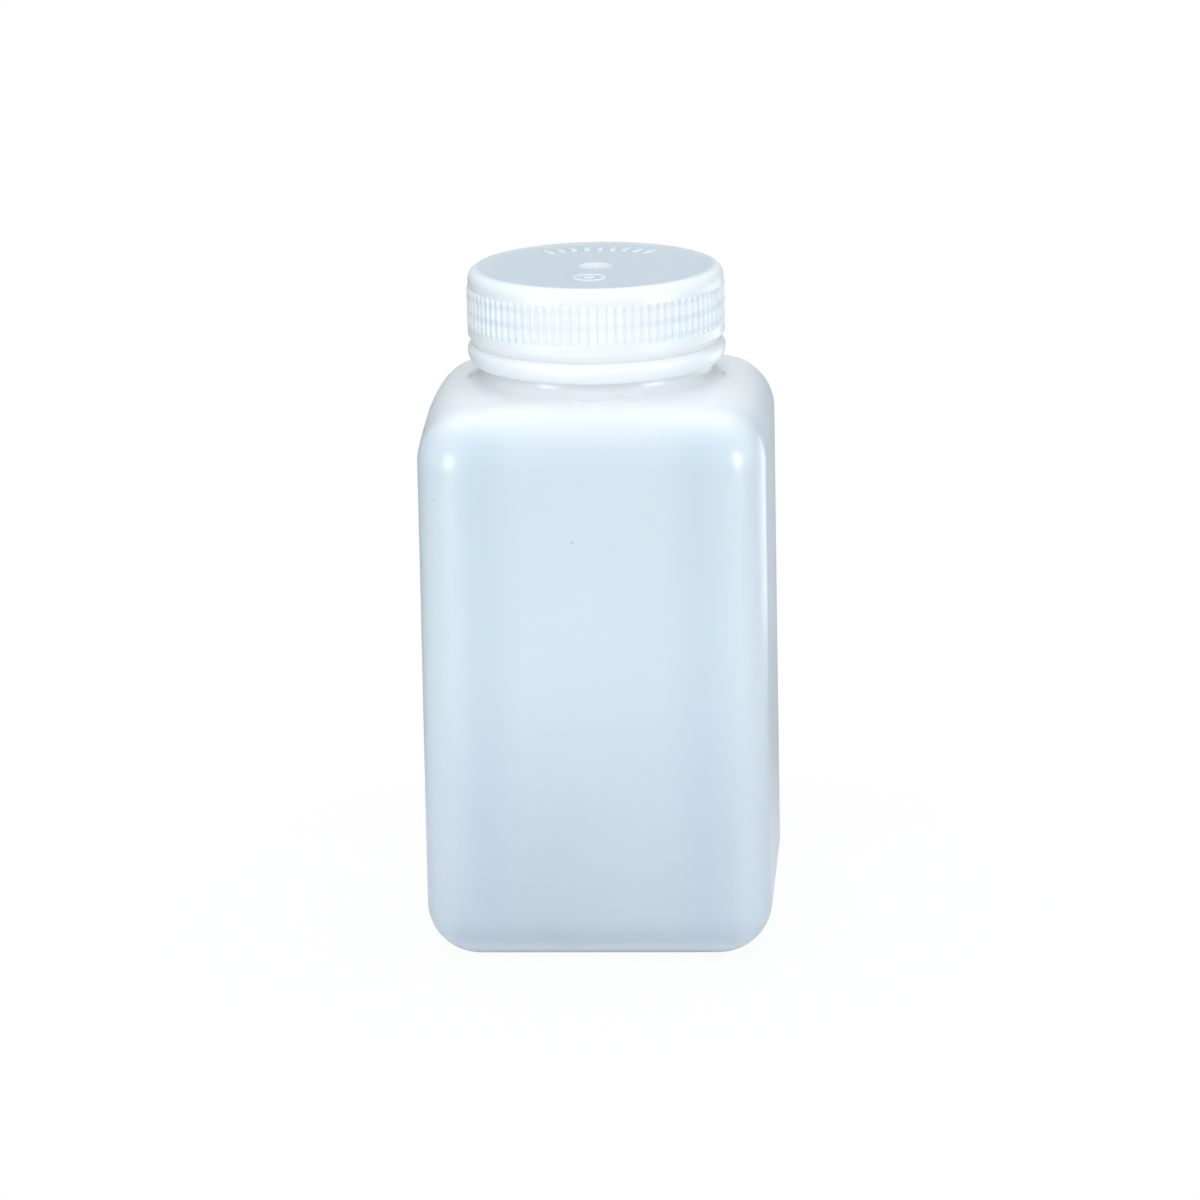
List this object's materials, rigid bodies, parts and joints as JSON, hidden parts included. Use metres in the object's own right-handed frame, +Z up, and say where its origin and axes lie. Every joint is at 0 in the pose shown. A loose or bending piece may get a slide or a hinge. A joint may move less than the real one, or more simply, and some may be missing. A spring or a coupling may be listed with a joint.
{
  "type": "square media bottle",
  "caption": "Square wide-mouth translucent plastic bottle with rounded corners, a short round threaded neck and a ribbed screw closure that lifts off.",
  "frame": {"origin": "centre of the base, on the surface that the bottle stands on", "axes": "+Z up through the mouth and the closure, +X to the right and -Y towards the viewer, each square to a flat side of the body"},
  "size_m": [0.09, 0.09, 0.1758],
  "materials": {
    "bottle_polyethylene": "translucent milky blue-white, satin, blow moulded",
    "closure_polypropylene": "translucent milky white, satin, injection moulded"
  },
  "bodies": {
    "bottle": {"bottle": "bottle_polyethylene"},
    "closure": {"closure": "closure_polypropylene"}
  },
  "joints": [
    {"name": "closure_lift", "type": "slide", "parent": "bottle", "child": "closure", "axis": [0, 0, 1], "range_m": [0, 0.05]}
  ]
}
